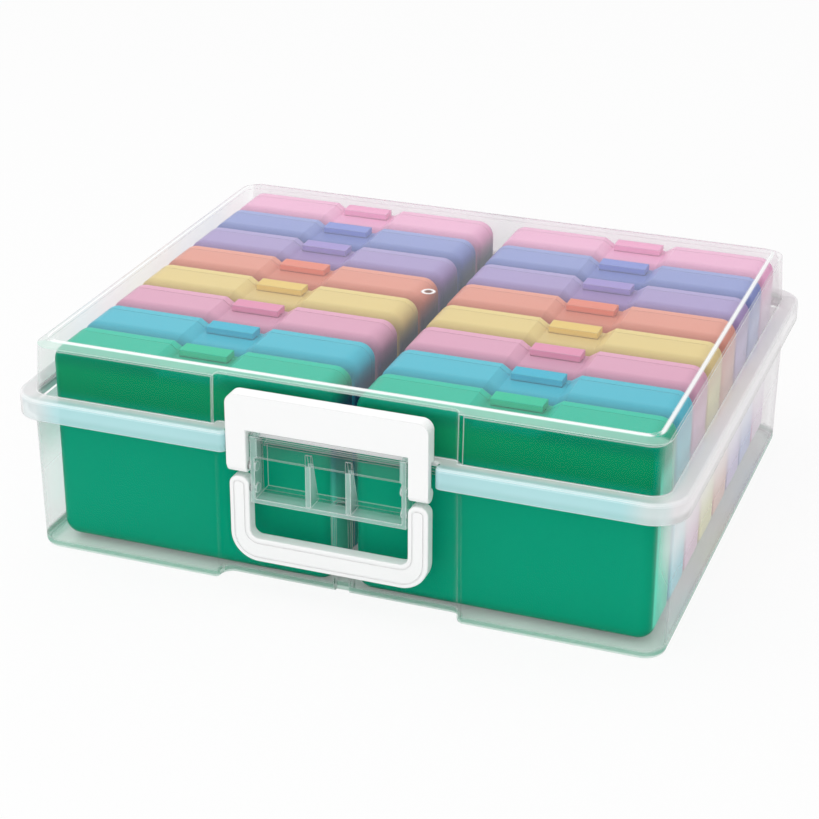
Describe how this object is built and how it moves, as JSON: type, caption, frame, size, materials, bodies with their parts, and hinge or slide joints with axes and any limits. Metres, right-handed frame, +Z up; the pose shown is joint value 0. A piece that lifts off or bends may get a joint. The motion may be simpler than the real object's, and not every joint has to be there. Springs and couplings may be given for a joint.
{
  "type": "photo keeper case",
  "caption": "Clear latched carrying case with a hinged lid and a folding handle, holding two columns of coloured two-part photo cases on edge.",
  "frame": {"origin": "centre of the tub's flat underside", "axes": "+Z up, -Y the front with the latch and the handle, +X to the right seen from the front"},
  "size_m": [0.383, 0.324, 0.127],
  "materials": {
    "clear_base": "gloss",
    "clear_lid": "gloss",
    "white_plastic": "satin",
    "case_green": "satin",
    "case_cyan": "satin",
    "case_pink": "satin",
    "case_yellow": "satin",
    "case_orange": "satin",
    "case_purple": "satin",
    "case_blue": "satin",
    "case_light_pink": "satin"
  },
  "bodies": {
    "tub": {"base": "clear_base", "left_case_1_cover": "case_green", "left_case_1_tray": "case_green", "left_case_2_cover": "case_cyan", "left_case_2_tray": "case_cyan", "left_case_3_cover": "case_pink", "left_case_3_tray": "case_pink", "left_case_4_cover": "case_yellow", "left_case_4_tray": "case_yellow", "left_case_5_cover": "case_orange", "left_case_5_tray": "case_orange", "left_case_6_cover": "case_purple", "left_case_6_tray": "case_purple", "left_case_7_cover": "case_blue", "left_case_7_tray": "case_blue", "left_case_8_cover": "case_light_pink", "left_case_8_tray": "case_light_pink", "right_case_1_cover": "case_green", "right_case_1_tray": "case_green", "right_case_2_cover": "case_cyan", "right_case_2_tray": "case_cyan", "right_case_3_cover": "case_pink", "right_case_3_tray": "case_pink", "right_case_4_cover": "case_yellow", "right_case_4_tray": "case_yellow", "right_case_5_cover": "case_orange", "right_case_5_tray": "case_orange", "right_case_6_cover": "case_purple", "right_case_6_tray": "case_purple", "right_case_7_cover": "case_blue", "right_case_7_tray": "case_blue", "right_case_8_cover": "case_light_pink", "right_case_8_tray": "case_light_pink"},
    "lid": {"lid": "clear_lid"},
    "latch": {"latch": "white_plastic"},
    "handle": {"handle": "white_plastic"}
  },
  "joints": [
    {"name": "lid_hinge", "type": "hinge", "parent": "tub", "child": "lid", "pos_m": [0, 0.1615, 0.084], "axis": [-1, 0, 0], "range_deg": [0, 100]},
    {"name": "latch_pivot", "type": "hinge", "parent": "tub", "child": "latch", "pos_m": [0, -0.1538, 0.0785], "axis": [1, 0, 0], "range_deg": [0, 90]},
    {"name": "handle_pivot", "type": "hinge", "parent": "tub", "child": "handle", "pos_m": [0, -0.153, 0.0652], "axis": [-1, 0, 0], "range_deg": [0, 90]}
  ]
}
